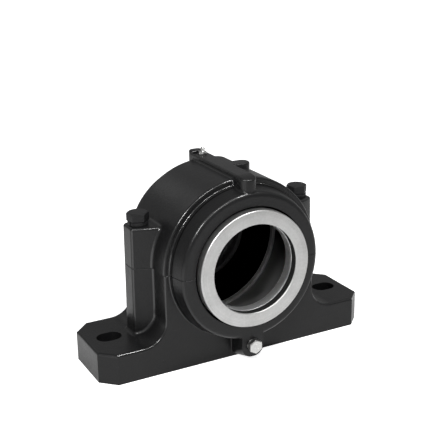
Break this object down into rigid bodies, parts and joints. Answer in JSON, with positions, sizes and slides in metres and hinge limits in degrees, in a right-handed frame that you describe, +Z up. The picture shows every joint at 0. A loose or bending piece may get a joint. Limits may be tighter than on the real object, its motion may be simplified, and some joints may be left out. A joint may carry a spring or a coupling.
{
  "type": "split plummer block",
  "caption": "Two-part cast iron pillow block housing with slotted feet, bolted cap, labyrinth seal ring, end cover, nipple and drain plug.",
  "frame": {"origin": "middle of the flat mounting face, under the shaft axis", "axes": "+X along the base, +Y along the shaft axis towards the rear, +Z up"},
  "size_m": [0.415, 0.189, 0.2748],
  "materials": {
    "painted_casting": "semi-gloss black paint over sand-cast iron",
    "painted_steel": "semi-gloss black paint over forged steel",
    "turned_steel": "fine-turned, with light lathe marks",
    "machined_iron": "turned, lightly oiled",
    "ground_steel": "ground",
    "plated_steel": "bright zinc plating",
    "black_rubber": "matt",
    "soft_aluminium": "flat rolled"
  },
  "bodies": {
    "housing": {"housing_base": "painted_casting", "housing_cap": "painted_casting", "cap_bolt_left": "painted_steel", "cap_bolt_right": "painted_steel", "spring_washer_left": "painted_steel", "spring_washer_right": "painted_steel", "dowel_pin_left": "ground_steel", "dowel_pin_right": "ground_steel", "locating_ring_front": "machined_iron", "locating_ring_rear": "machined_iron", "grease_nipple": "plated_steel", "nipple_spring": "ground_steel", "drain_plug": "plated_steel", "drain_washer": "soft_aluminium", "end_cover": "black_rubber"},
    "shaft_seal": {"labyrinth_ring": "turned_steel", "rubber_cord": "black_rubber"},
    "check_ball": {"nipple_ball": "ground_steel"}
  },
  "joints": [
    {"name": "seal_spin", "type": "hinge", "parent": "housing", "child": "shaft_seal", "pos_m": [0, -0.0855, 0.14], "axis": [0, 1, 0], "continuous": true},
    {"name": "check_ball_lift", "type": "slide", "parent": "housing", "child": "check_ball", "axis": [0, 0, -1], "range_m": [0, 0.0006], "stiffness_N_per_m": 150}
  ]
}
